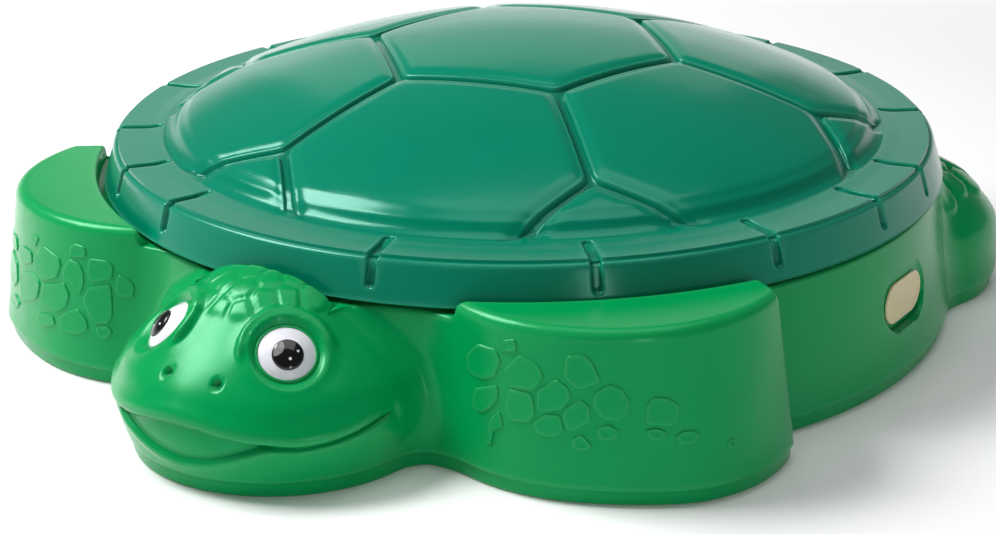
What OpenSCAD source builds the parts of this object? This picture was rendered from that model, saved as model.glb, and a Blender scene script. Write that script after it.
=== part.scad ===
// Turtle-shaped sand tray with a lift-off round cover.
// The turtle looks along -Y, +Z is up, and the origin is on the ground under the
// centre of the round cover. All sizes are in millimetres.

/* [Cover] */
// Diameter of the cover over the lower edge of its skirt
cover_d = 920; // [760:5:1110]
// Height of the cover's lower edge above the ground
cover_z = 159; // [130:1:195]
// Height of the skirt that hangs round the tub's rim
skirt_h = 41; // [30:1:55]
// How far the skirt leans in from its lower edge to its shoulder
skirt_lean = 12; // [4:1:16]
// Width of the flat flange between the shoulder and the dome
flange_w = 46; // [34:1:56]
// Rise of the flange from the shoulder to the dome
flange_rise = 4; // [0:0.5:8]
// Height of the top of the dome above the shoulder
dome_h = 107; // [85:1:130]
// Wall of the cover
cover_wall = 2.8; // [2.4:0.2:4.4]
// How far the shell plates stand above the grooves between them
plate_h = 5; // [3:0.5:7]
// Width of the grooves between the shell plates
groove_w = 13; // [8:1:18]
// Distance from the centre to each corner of the middle plate
plate_mid_r = 173; // [135:1:205]
// How far each fork of the grooves lies inside the flange
fork_in = 75; // [60:1:115]
// Width of the short notches in the flange
notch_w = 9; // [6:1:12]
// Depth of the short notches in the flange
notch_d = 1.6; // [1:0.1:2]

/* [Tray] */
// Wall of the hollow tray
tray_wall = 2.2; // [2:0.2:3.6]
// How far the tray's wall stands outside the cover's edge at the ground
wall_flare = 16; // [8:1:24]
// How far the wall's upper end lies inside the cover's edge
wall_tuck = 6; // [3:1:10]
// Width of the tub's rim
rim_w = 34; // [24:1:44]
// Thickness of the tub's floor above the ground
floor_h = 14; // [10:1:20]
// How far the tub's wall leans in from the rim to the floor
tub_draft = 16; // [6:1:30]
// Height of the recessed foot that runs all the way round
foot_h = 16; // [10:1:22]
// How far the foot is recessed
foot_in = 5; // [3:0.5:7]
// Vertical gap between the cover's edge and the ledge under it
ledge_gap = 5; // [3:1:8]
// Gap between the cover's edge and the pieces that stand round it
edge_gap = 8; // [5:1:12]
// Clearance between the rim's top and the cover that lies on it
seat_gap = 0.3; // [0.2:0.1:0.6]

/* [Seats, head and feet] */
// How far the two seats, which are the front flippers, stand above the cover's edge
seat_over = 13; // [6:1:30]
// Radius of a seat at its top
seat_r = 176; // [146:1:212]
// How far the centre of a seat lies inside the cover's edge
seat_in = 82; // [60:1:110]
// Angle of a seat's centre from the head
seat_angle = 44.5; // [40:0.5:48]
// Angle of the flat rear face of a seat from the head
seat_rear_angle = 62; // [57:0.5:64]
// Radius of the head over its lips
head_r = 160; // [130:1:192]
// How far the centre of the head lies inside the cover's edge
head_in = 8; // [0:1:30]
// How far the crown of the head stands above the cover's edge
head_over = 25; // [12:1:40]
// Height of the lips, where the head is widest
lip_h = 60; // [48:1:70]
// Radius of a hind foot
hind_r = 128; // [106:1:150]
// How far the centre of a hind foot lies inside the cover's edge
hind_in = 46; // [30:1:70]
// Angle of a hind foot from the head
hind_angle = 129; // [122:1:136]
// How far the top of a hind foot lies below the cover's edge
hind_under = 15; // [10:1:30]
// Radius of the tail
tail_r = 66; // [52:1:80]
// How far the centre of the tail lies inside the cover's edge
tail_in = 32; // [20:1:50]
// How far the top of the tail lies below the cover's edge
tail_under = 39; // [20:1:60]

/* [Eyes] */
// Diameter of an eye
eye_d = 54; // [45:1:65]
// How far the middle of an eye stands out of its socket
eye_rise = 9; // [6:0.5:12]
// Diameter of the stem that holds an eye in the head
stem_d = 14; // [11:0.5:17]
// Length of the stem
stem_l = 22; // [18:1:27]
// Clearance round the stem
stem_gap = 0.15; // [0.1:0.05:0.3]
// Diameter of a pupil
pupil_d = 30; // [24:1:36]
// Thickness of a pupil
pupil_t = 3; // [2:0.5:4]
// How far a pupil sits below the middle of its eye
pupil_shift = 4; // [0:0.5:5]
// Angle round the head from the nose to each eye
eye_round = 41.8; // [34:0.2:50]
// How far the centre of an eye lies inside the side of the head
eye_in = 6; // [3:0.5:10]
// How far the centre of an eye lies below the crown
eye_under = 56; // [47:1:67]
// Turn of an eye from straight ahead towards the side
eye_turn = 46; // [36:1:55]
// Tilt of an eye from level towards the sky
eye_tilt = 47; // [38:1:55]

/* [Side badge] */
// Length of the badge
badge_l = 84; // [68:1:102]
// Height of the badge
badge_w = 44; // [36:1:54]
// Thickness of the badge
badge_t = 3; // [2:0.5:5]
// Height of the badge's centre above the ground
badge_z = 86; // [60:1:100]
// Gap between the badge and the edge of its recess
badge_gap = 7; // [4:1:10]
// Depth of the recess that holds the badge
badge_depth = 6; // [4:0.5:8]

/* [Hidden] */
$fn = 96;
far = 3000;

cover_r = cover_d / 2;
shoulder_r = cover_r - skirt_lean;
shoulder_z = cover_z + skirt_h;
flange_r = shoulder_r - flange_w;
flange_z = shoulder_z + flange_rise;
apex_z = shoulder_z + dome_h;
// The dome springs from a short steep wall inside the flange.
spring_r = flange_r - 16;
spring_z = flange_z + 15;
dome_rise = apex_z - spring_z;
dome_R = (spring_r * spring_r + dome_rise * dome_rise) / (2 * dome_rise);
// Outer edge of the six plates round the middle one
plate_out_r = spring_r - 3;
fork_r = flange_r - fork_in;
arm_r = flange_r - 6;
arm_spread = 13;
mid_turn = 43.8;
notch_angles = [-37.5, -21, 13.2, 40.8, 64.8, 84.8, 99.5, 126, 147, 168, 190, 213,
                236, 257, 282, 304];
notch_in = 10;
notch_drop = 26;

ledge_z = cover_z - ledge_gap;
wall_r = cover_r + wall_flare;
wall_top_r = cover_r - wall_tuck;
pocket_r = cover_r + edge_gap;
rim_in_r = flange_r + 3;
rim_out_r = rim_in_r + rim_w;
rim_slope = flange_rise / flange_w;
rim_chamfer = 7;
floor_r = rim_in_r - tub_draft;
seat_h = cover_z + seat_over;
seat_out = cover_r - seat_in;
seat_spread = 8;
top_edge = 9;
head_h = cover_z + head_over;
head_out = cover_r - head_in;
// Rows of the head's side: share of its radius, share of the way from lips to crown
head_rows = [[1, 0], [0.95, 0.2], [0.82, 0.4], [0.65, 0.61], [0.46, 0.82], [0.27, 0.96]];
hind_h = cover_z - hind_under;
hind_out = cover_r - hind_in;
tail_h = cover_z - tail_under;
tail_out = cover_r - tail_in;
eye_z = head_h - eye_under;
eye_reach = head_side(eye_z) - eye_in;
badge_seat_r = wall_r - (wall_r - wall_top_r) * badge_z / ledge_z - badge_depth;

// Height of a row of the head's side, and the head's radius at a height
function row_z(row) = lip_h + row[1] * (head_h - lip_h);
function head_side(z) = lookup(z, [for (row = head_rows) [row_z(row), row[0] * head_r]]);
// Height of the flange's top at a distance from the centre
function flange_top(r) = shoulder_z + (shoulder_r - r) * rim_slope;
// Height of the rim's top, just under the flange
function rim_top(r) = flange_top(r) - cover_wall - seat_gap;

// Turns a shape drawn along -Y to an angle from the head.
module at_angle(a) rotate([0, 0, a]) children();

// A solid of revolution with a recessed foot. The points run from the ground up.
module turned(ground_r, rest, top, t) {
    rotate_extrude()
        polygon(concat(
            [[0, t], [ground_r - foot_in - t, t], [ground_r - foot_in - t, foot_h + t],
             [ground_r - t, foot_h + t]],
            [for (p = rest) [p[0] - t, p[1] - t / 2]],
            [[0, top - t]]));
}

// One seat: a low round tower with a flat top and a flat rear face.
module seat(t) {
    difference() {
        at_angle(seat_angle) translate([0, -seat_out, 0])
            turned(seat_r + seat_spread,
                   [[seat_r, seat_h - top_edge],
                    [seat_r - 0.3 * top_edge, seat_h - 0.3 * top_edge],
                    [seat_r - top_edge, seat_h - t / 2]],
                   seat_h, t);
        at_angle(seat_rear_angle) translate([-t, -far / 2, -far / 2]) cube(far);
    }
}

// The head: widest at the lips, rounded up to the crown.
module head(t) {
    translate([0, -head_out, 0])
        turned(head_r - 11, [for (row = head_rows) [row[0] * head_r, row_z(row)]], head_h, t);
}

// One hind foot, which slopes down from the cover to its toes.
module hind_foot(t) {
    at_angle(hind_angle) translate([0, -hind_out, 0])
        turned(hind_r,
               [[0.98 * hind_r, 0.5 * hind_h], [0.87 * hind_r, 0.71 * hind_h],
                [0.67 * hind_r, 0.85 * hind_h], [0.36 * hind_r, 0.97 * hind_h]],
               hind_h, t);
}

// The tail, low and round.
module tail(t) {
    translate([0, tail_out, 0])
        turned(tail_r,
               [[0.96 * tail_r, 0.45 * tail_h], [0.8 * tail_r, 0.7 * tail_h],
                [0.5 * tail_r, 0.93 * tail_h]],
               tail_h, t);
}

// Cuts away what would stand in the cover's way.
module clear_of_cover(t) {
    difference() {
        children();
        translate([0, 0, ledge_z - t]) cylinder(r = pocket_r + t, h = far);
    }
}

// The tray without its tub. t is how far the surface lies inside the tray's skin.
module tray_form(t) {
    clear_of_cover(t) seat(t);
    clear_of_cover(t) mirror([1, 0, 0]) seat(t);
    clear_of_cover(t) head(t);
    clear_of_cover(t) hind_foot(t);
    clear_of_cover(t) mirror([1, 0, 0]) hind_foot(t);
    tail(t);
    // The round wall, and the rim that the cover lies on
    rotate_extrude($fn = 2 * $fn)
        polygon([[0, t], [wall_r - foot_in - t, t], [wall_r - foot_in - t, foot_h + t],
                 [wall_r - t, foot_h + t], [wall_top_r - t, ledge_z - t],
                 [rim_out_r + 5 - t, ledge_z - t],
                 [rim_out_r - t, rim_top(rim_out_r) - rim_chamfer - t],
                 [rim_out_r - rim_chamfer - t, rim_top(rim_out_r - rim_chamfer) - t],
                 [rim_in_r, rim_top(rim_in_r) - t], [0, rim_top(rim_in_r) - t]]);
}

// The space for the sand, made larger by t for the hollow's side of the skin.
module tub(t) {
    rotate_extrude($fn = 2 * $fn)
        polygon([[0, floor_h - t], [floor_r - 18 + t, floor_h - t],
                 [floor_r - 5 + t, floor_h + 5 - t], [floor_r + t, floor_h + 18 - t],
                 [rim_in_r + t, far / 10], [0, far / 10]]);
}

// Places a shape drawn along +Z on the face of an eye. side is -1 or 1.
module at_eye(side) {
    translate([side * eye_reach * sin(eye_round),
               -head_out - eye_reach * cos(eye_round), eye_z])
        rotate([0, 0, side * eye_turn]) rotate([90 - eye_tilt, 0, 0]) children();
}

// Places a shape drawn along +Z on the floor of the badge's recess.
module at_badge() translate([badge_seat_r, 0, badge_z]) rotate([90, 0, 90]) children();

module rounded_plate(l, w, h, r) {
    linear_extrude(h) {
        square([l - 2 * r, w], center = true);
        square([l, w - 2 * r], center = true);
        for (x = [-1, 1], y = [-1, 1])
            translate([x * (l / 2 - r), y * (w / 2 - r)]) circle(r = r);
    }
}

// The moulded tray: one hollow skin with the tub, the seats, the head and the feet.
module base() {
    $fn = 60;
    socket_r = eye_d / 2 + 1;
    recess_r = badge_w / 2;
    color("#0aa04a") difference() {
        tray_form(0);
        tub(0);
        difference() {
            tray_form(tray_wall);
            tub(tray_wall);
            for (s = [-1, 1])
                at_eye(s) translate([0, 0, -stem_l + 4])
                    cylinder(r = socket_r + tray_wall, h = far / 20);
            at_badge() translate([0, 0, -tray_wall])
                rounded_plate(badge_l + 2 * (badge_gap + tray_wall),
                              badge_w + 2 * (badge_gap + tray_wall), far / 20, recess_r);
        }
        for (s = [-1, 1]) at_eye(s) {
            cylinder(r = socket_r, h = far / 20);
            translate([0, 0, -far / 60])
                cylinder(d = stem_d + 2 * stem_gap, h = far / 50);
        }
        at_badge()
            rounded_plate(badge_l + 2 * badge_gap, badge_w + 2 * badge_gap, far / 20,
                          recess_r);
    }
}

// Outline of the grooves between the shell plates. w is their width.
module grooves(w) {
    for (k = [0 : 5]) rotate([0, 0, mid_turn + 60 * k]) {
        // From a corner of the middle plate out to the fork
        translate([-w / 2, -fork_r]) square([w, fork_r - plate_mid_r]);
        translate([0, -plate_mid_r]) circle(d = w);
        translate([0, -fork_r]) circle(d = w);
        // Side of the middle plate
        translate([0, -plate_mid_r]) rotate([0, 0, -60])
            translate([-w / 2, 0]) square([w, plate_mid_r]);
        // The two arms of the fork
        for (s = [-1, 1]) translate([0, -fork_r]) rotate([0, 0, s * arm_turn()])
            translate([-w / 2, -arm_length()]) square([w, arm_length()]);
    }
}
function arm_end() = [arm_r * sin(arm_spread), fork_r - arm_r * cos(arm_spread)];
function arm_turn() = atan2(arm_end()[0], -arm_end()[1]);
function arm_length() = norm(arm_end());

// Solid dome with a steep wall round it. low is how far its top lies under the plates.
module dome(low, t) {
    wall_slope = (flange_r - spring_r) / (spring_z - flange_z);
    below = 10;
    foot_r = flange_r + below * wall_slope - 1.4 * t;
    intersection() {
        translate([0, 0, apex_z - dome_R]) sphere(r = dome_R - low - t, $fn = 360);
        translate([0, 0, flange_z - below]) cylinder(r1 = foot_r, r2 = 0, h = foot_r / wall_slope);
    }
}

// The cover as a solid whose surface lies t inside the skin. w is the grooves' width.
module cover_form(t, w) {
    rotate_extrude($fn = 180)
        polygon([[0, cover_z - t], [cover_r - t, cover_z - t],
                 [shoulder_r - t, flange_top(shoulder_r - t) - t],
                 [flange_r, flange_z - t], [0, flange_z - t]]);
    dome(plate_h, t);
    intersection() {
        dome(0, t);
        linear_extrude(far / 6) difference() {
            circle(r = plate_out_r - t);
            grooves(w);
        }
    }
}

// The lift-off cover with its plates, its grooves and the notches in its flange.
module cover() {
    color("#007459") difference() {
        cover_form(0, groove_w);
        cover_form(cover_wall, groove_w + 2 * cover_wall);
        for (a = notch_angles) at_angle(a) notch();
    }
}

// One short notch that runs out over the flange and down the skirt.
module notch() {
    intersection() {
        translate([-notch_w / 2, -cover_r - 5, shoulder_z - notch_drop])
            cube([notch_w, flange_w + skirt_lean + 5 - notch_in, notch_drop + 20]);
        rotate_extrude($fn = 180)
            polygon([[flange_r + notch_in, flange_top(flange_r + notch_in) - notch_d],
                     [shoulder_r - notch_d, shoulder_z - notch_d],
                     [cover_r - notch_d, cover_z], [cover_r + 10, cover_z],
                     [cover_r + 10, shoulder_z + 20], [flange_r + notch_in, shoulder_z + 20]]);
    }
}

// One eye: a domed white plug with a stem and a shallow seat for the pupil.
module eye(side) {
    color("white") at_eye(side) difference() {
        union() {
            intersection() {
                cylinder(d = eye_d, h = eye_rise);
                translate([0, 0, eye_rise - eye_ball_r()]) sphere(r = eye_ball_r());
            }
            translate([0, 0, -stem_l]) cylinder(d = stem_d, h = stem_l + 1);
        }
        translate([0, -pupil_shift, eye_rise - pupil_t])
            cylinder(d = pupil_d + 2 * stem_gap, h = far / 20);
    }
}
// Radius of the ball that rounds an eye down to a thin edge
function eye_ball_r() = (pow(eye_d / 2, 2) + pow(eye_rise - 2, 2)) / (2 * (eye_rise - 2));

// One pupil: a black disc with a slightly domed face, laid in the eye.
module pupil(side) {
    color("black") at_eye(side) intersection() {
        translate([0, -pupil_shift, eye_rise - pupil_t]) cylinder(d = pupil_d, h = pupil_t + 1);
        translate([0, 0, eye_rise + 0.8 - eye_ball_r()]) sphere(r = eye_ball_r());
    }
}

module eye_left() eye(1);
module eye_right() eye(-1);
module pupil_left() pupil(1);
module pupil_right() pupil(-1);

// The plain oval badge in its recess on the turtle's left side.
module side_badge() {
    color("#f2e6c4") at_badge() rounded_plate(badge_l, badge_w, badge_t, badge_w / 2 - 1);
}

base();
cover();
eye_left();
eye_right();
pupil_left();
pupil_right();
side_badge();
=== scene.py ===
import math

import bpy
import numpy as np
from bpy.props import FloatProperty, FloatVectorProperty, IntProperty
from mathutils import Matrix, Vector


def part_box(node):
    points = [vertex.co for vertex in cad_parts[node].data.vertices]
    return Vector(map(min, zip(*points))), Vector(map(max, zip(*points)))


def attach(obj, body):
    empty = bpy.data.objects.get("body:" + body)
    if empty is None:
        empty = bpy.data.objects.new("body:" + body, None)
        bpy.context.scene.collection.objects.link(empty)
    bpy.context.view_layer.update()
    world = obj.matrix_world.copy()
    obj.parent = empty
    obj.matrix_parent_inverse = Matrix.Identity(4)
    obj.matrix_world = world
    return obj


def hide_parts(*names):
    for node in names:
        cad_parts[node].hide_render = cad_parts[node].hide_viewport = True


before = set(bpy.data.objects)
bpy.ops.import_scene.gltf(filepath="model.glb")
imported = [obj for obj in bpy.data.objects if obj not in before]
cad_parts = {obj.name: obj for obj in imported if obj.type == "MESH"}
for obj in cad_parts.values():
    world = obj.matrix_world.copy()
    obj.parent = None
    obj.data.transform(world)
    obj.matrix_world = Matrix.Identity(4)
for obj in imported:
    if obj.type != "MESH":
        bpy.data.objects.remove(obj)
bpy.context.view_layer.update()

bl_info = {
    "name": "Turtle Sand Tray",
    "version": (1, 0, 0),
    "blender": (4, 5, 0),
    "location": "View3D > Sidebar > Sand Tray",
    "description": "Models a turtle-shaped sand tray with its lift-off shell cover",
    "category": "Add Mesh",
}

COVER_LOW, COVER_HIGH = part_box("cover")
TRAY_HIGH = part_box("base")[1]


class TraySizes(bpy.types.PropertyGroup):
    """Sizes of the tray moulding, in metres."""

    wall_flare: FloatProperty(
        name="Wall flare", description="How far the wall stands out at the ground",
        default=0.016, unit="LENGTH")
    foot_height: FloatProperty(
        name="Foot height", description="Height of the recessed foot",
        default=0.016, unit="LENGTH")
    foot_recess: FloatProperty(
        name="Foot recess", description="How far the foot is set back",
        default=0.005, unit="LENGTH")
    seat_height: FloatProperty(
        name="Seat height", description="Height of the flipper seats",
        default=0.172, unit="LENGTH")
    seat_radius: FloatProperty(
        name="Seat radius", description="Radius of a seat at its top",
        default=0.176, unit="LENGTH")
    join_radius: FloatProperty(
        name="Join radius", description="Radius of the fillets between wall, seats and head",
        default=0.022, unit="LENGTH")
    scale_rise: FloatProperty(
        name="Scale rise", description="How far the small scales stand out of the seats",
        default=0.0016, unit="LENGTH")
    colour: FloatVectorProperty(
        name="Tray colour", description="Green of the moulded tray",
        default=(0.0, 0.31, 0.080), subtype="COLOR", size=3)


class CoverSizes(bpy.types.PropertyGroup):
    """Sizes of the shell cover, in metres."""

    skirt: FloatProperty(
        name="Skirt height", description="Height of the skirt below the shoulder",
        default=0.041, unit="LENGTH")
    flange: FloatProperty(
        name="Flange width", description="Width of the flange round the dome",
        default=0.046, unit="LENGTH")
    wall: FloatProperty(
        name="Wall", description="Thickness of the cover",
        default=0.003, unit="LENGTH")
    groove_depth: FloatProperty(
        name="Groove depth", description="Depth of the grooves between the plates",
        default=0.0085, unit="LENGTH")
    notch_depth: FloatProperty(
        name="Notch depth", description="Depth of the notches in the flange",
        default=0.005, unit="LENGTH")
    turn: FloatProperty(
        name="Turn", description="Turn of the plate pattern from the head",
        default=math.radians(43.8), unit="ROTATION")
    colour: FloatVectorProperty(
        name="Cover colour", description="Dark green of the shell",
        default=(0.0, 0.20, 0.115), subtype="COLOR", size=3)


class FaceSizes(bpy.types.PropertyGroup):
    """Counts and colours of the eyes and of the badge."""

    eye_white: FloatVectorProperty(
        name="Eye white", description="Colour of the eyes",
        default=(0.80, 0.79, 0.85), subtype="COLOR", size=3)
    pupil_black: FloatVectorProperty(
        name="Pupil black", description="Colour of the pupils",
        default=(0.004, 0.004, 0.005), subtype="COLOR", size=3)
    badge_cream: FloatVectorProperty(
        name="Badge cream", description="Colour of the badge",
        default=(0.80, 0.68, 0.40), subtype="COLOR", size=3)
    eye_rings: IntProperty(
        name="Eye rings", description="Rings that round an eye",
        default=20, min=6, max=60)


# ---------------------------------------------------------------- small helpers

def clear_selection():
    """Leaves edit mode and selects nothing."""
    if bpy.context.object and bpy.context.object.mode != "OBJECT":
        bpy.ops.object.mode_set(mode="OBJECT")
    bpy.ops.object.select_all(action="DESELECT")


def grid_object(name, rings):
    """A mesh from closed rings of points (rings, points, 3). A ring of one repeated point is a pole."""
    rows, columns, _ = rings.shape
    mesh = bpy.data.meshes.new(name)
    index = np.arange(rows * columns).reshape(rows, columns)
    right = np.roll(index, -1, axis=1)
    faces = np.stack([index[:-1], right[:-1], right[1:], index[1:]], axis=-1).reshape(-1, 4)
    mesh.from_pydata(rings.reshape(-1, 3).tolist(), [], faces.tolist())
    piece = bpy.data.objects.new(name, mesh)
    bpy.context.scene.collection.objects.link(piece)
    return piece


def tidy_mesh(piece, gap=1e-5, angle=40):
    """Merges doubled points, turns the faces outward and shades smooth up to an angle."""
    clear_selection()
    piece.select_set(True)
    bpy.context.view_layer.objects.active = piece
    bpy.ops.object.mode_set(mode="EDIT")
    bpy.ops.mesh.select_all(action="SELECT")
    bpy.ops.mesh.remove_doubles(threshold=gap)
    bpy.ops.mesh.normals_make_consistent(inside=False)
    bpy.ops.object.mode_set(mode="OBJECT")
    bpy.ops.object.shade_smooth_by_angle(angle=math.radians(angle))
    clear_selection()


def join_parts(parts, name):
    """Joins parts into the first of them, which takes the name."""
    clear_selection()
    for part in parts:
        part.select_set(True)
    bpy.context.view_layer.objects.active = parts[0]
    bpy.ops.object.join()
    parts[0].name = name
    return parts[0]


def finish_piece(piece, body, node, material):
    """Gives a piece its material and its body, and hides the CAD node that it stands for."""
    piece.data.materials.clear()
    piece.data.materials.append(material)
    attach(piece, body)
    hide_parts(node)


def soft_table(points, low, high, blur, count=2001):
    """A smooth curve through given points, as a function."""
    x = np.linspace(low, high, count)
    y = np.interp(x, [p[0] for p in points], [p[1] for p in points])
    half = max(1, int(blur / (high - low) * count / 2))
    padded = np.pad(y, 2 * half, mode="edge")
    box = np.ones(2 * half + 1) / (2 * half + 1)
    smooth = np.convolve(np.convolve(padded, box, "same"), box, "same")[2 * half:-2 * half]
    return lambda v: np.interp(v, x, smooth)


def ease(low, high, v):
    """0 below low, 1 above high, smooth between."""
    t = np.clip((v - low) / (high - low), 0, 1)
    return t * t * (3 - 2 * t)


def filleted(a, b, r):
    """Distance to two solids joined with a fillet of radius r."""
    corner = np.hypot(np.maximum(r - a, 0), np.maximum(r - b, 0))
    return np.maximum(r, np.minimum(a, b)) - corner


def rounded(a, b, r):
    """Distance to what two solids share, with the edge rounded to radius r."""
    corner = np.hypot(np.maximum(r + a, 0), np.maximum(r + b, 0))
    return np.minimum(-r, np.maximum(a, b)) + corner


# ------------------------------------------------------------- the tray's form

COVER_R = COVER_HIGH.x
LEDGE_Z = COVER_LOW.z - 0.005
POCKET_R = COVER_R + 0.008
WALL_TOP_R = COVER_R - 0.006
SEAT_OUT = 0.378
SEAT_ANGLE = math.radians(44.5)
SEAT_REAR = math.radians(62.0)
SEAT_REAR_R = 0.510
SEAT_REAR_LEAN = math.radians(6)
SEAT_REAR_TAPER = 0.118
SEAT_REAR_SPREAD = 0.008
SCALE_ARC_R = 0.178
HEAD_OUT = 0.452
CROWN_Z = 0.184
HIND_OUT = 0.414
HIND_ANGLE = math.radians(129)
TAIL_OUT = 0.428
EYE = Vector((0.0708, -0.5312, 0.1285))
NOSTRIL = (0.029, -0.583, 0.106)
EYE_TURN = math.radians(46)
EYE_TILT = math.radians(47)
EYE_R = 0.027
EYE_RISE = 0.009
BULGE_R = 0.0445
BULGE_DEPTH = 0.036
# Each brow fold: its distance from the middle of the eye, its thickness, its height.
BROWS = ((0.0350, 0.0034, 0.0018), (0.0430, 0.0032, 0.0002))
PUPIL_R = 0.015
PUPIL_DROP = 0.004
FACE_SPAN = 0.04

HEAD_PROFILE = soft_table(
    [(0, 0.149), (0.016, 0.150), (0.035, 0.157), (0.055, 0.162), (0.075, 0.160),
     (0.095, 0.150), (0.115, 0.129), (0.135, 0.104), (0.155, 0.080), (0.172, 0.056),
     (0.186, 0.030), (0.2, 0.0)], 0, 0.2, 0.014)
HIND_PROFILE = soft_table(
    [(0, 0.127), (0.03, 0.129), (0.065, 0.129), (0.082, 0.125), (0.100, 0.110),
     (0.122, 0.084), (0.138, 0.05), (0.15, 0.0)], 0, 0.15, 0.012)
TAIL_PROFILE = soft_table(
    [(0, 0.065), (0.05, 0.064), (0.075, 0.058), (0.1, 0.045), (0.115, 0.02), (0.12, 0)],
    0, 0.12, 0.012)
SEAT_FLARE = soft_table(
    [(-180, 0.008), (25, 0.008), (40, 0.013), (58, 0.027), (75, 0.028), (103, 0.019), (180, 0.012)],
    -180, 180, 8)
UPPER_LIP = soft_table(
    [(0, 0.072), (8, 0.071), (17, 0.066), (30, 0.0595), (43, 0.0545), (54, 0.057),
     (63, 0.062), (74, 0.069), (79, 0.072)], 0, 90, 6)
LOWER_LIP = soft_table(
    [(0, 0.0335), (10, 0.0365), (17, 0.042), (24, 0.049), (31, 0.0565), (36, 0.058)],
    0, 90, 5)


def eye_axes(side):
    """The eye's centre, the direction it looks in, and the direction up across its face."""
    turn = Matrix.Rotation(side * EYE_TURN, 3, "Z")
    tilt = Matrix.Rotation(math.pi / 2 - EYE_TILT, 3, "X")
    look = turn @ tilt @ Vector((0, 0, 1))
    up = turn @ tilt @ Vector((0, 1, 0))
    return Vector((side * EYE.x, EYE.y, EYE.z)), look, up


def wall_distance(x, y, z, sizes):
    """Distance to the round wall under the cover's edge."""
    ground_r = COVER_R + sizes.wall_flare
    radius = ground_r + (WALL_TOP_R - ground_r) * z / LEDGE_Z
    return rounded(np.hypot(x, y) - radius, z - LEDGE_Z, 0.003)


def seat_distance(x, y, z, sizes):
    """Distance to a flipper seat on the side of +X."""
    cx, cy = SEAT_OUT * math.sin(SEAT_ANGLE), -SEAT_OUT * math.cos(SEAT_ANGLE)
    around = np.arctan2(x - cx, cy - y)
    flare = SEAT_FLARE(np.degrees(around))
    radius = sizes.seat_radius + flare * (1 - z / sizes.seat_height)
    side = np.hypot(x - cx, y - cy) - radius
    px, py = SEAT_REAR_R * math.sin(SEAT_REAR), -SEAT_REAR_R * math.cos(SEAT_REAR)
    rear = (x - px) * math.cos(SEAT_REAR - SEAT_REAR_LEAN)
    rear = rear + (y - py) * math.sin(SEAT_REAR - SEAT_REAR_LEAN) + SEAT_REAR_TAPER * z
    rear = rear - SEAT_REAR_SPREAD
    plan = rounded(side, rear, 0.009)
    return rounded(plan, z - sizes.seat_height, 0.010)


def mouth_relief(angle, z):
    """How far the lips stand out of the head. angle is in degrees from the nose."""
    a = np.abs(angle)
    upper, lower = UPPER_LIP(a), LOWER_LIP(a)
    inside = ease(-0.0018, 0.0018, upper - z) * ease(-0.0032, 0.0032, z - lower)
    inside = inside * (1 - ease(33, 37, a))
    crease = np.exp(-((z - upper) / 0.0022) ** 2) * ease(26, 34, a) * (1 - ease(76, 80, a))
    lip = np.exp(-((z - upper - 0.009) / 0.008) ** 2) * (1 - ease(60, 80, a))
    chin = np.exp(-((z - lower + 0.006) / 0.006) ** 2) * (1 - ease(28, 40, a))
    corner = np.exp(-((a - 80) / 1.3) ** 2) * np.exp(-((z - 0.070) / 0.010) ** 2)
    return 0.0035 * lip + 0.0022 * chin - 0.0048 * inside - 0.0045 * crease - 0.003 * corner


CROWN_CELLS = [(-0.030, -0.522), (-0.010, -0.531), (0.014, -0.527), (-0.024, -0.499),
               (0.002, -0.506), (0.029, -0.508), (0.020, -0.485), (0.045, -0.490),
               (-0.006, -0.484), (-0.040, -0.486), (0.060, -0.476), (0.038, -0.472)]
HIND_CELLS = [(0.045, 0.015), (0.078, 0.010), (0.062, 0.040), (0.050, -0.018), (0.085, -0.023),
              (0.030, 0.048), (0.060, -0.050), (0.020, 0.075), (0.040, -0.080), (0.092, 0.035)]
CROWN_RISE = 0.0016
HIND_RISE = 0.0040


def cell_relief(u, v, cells, gap, reach):
    """1 on the cells round some points, 0 in the gaps between them and past their reach."""
    first = np.full(u.shape, 9.0)
    second = np.full(u.shape, 9.0)
    for cu, cv in cells:
        d = np.hypot(u - cu, v - cv)
        second = np.minimum(second, np.maximum(first, d))
        first = np.minimum(first, d)
    edge = np.minimum(second - first, 2 * (reach - first))
    return ease(gap, gap + 0.003, edge)


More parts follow.
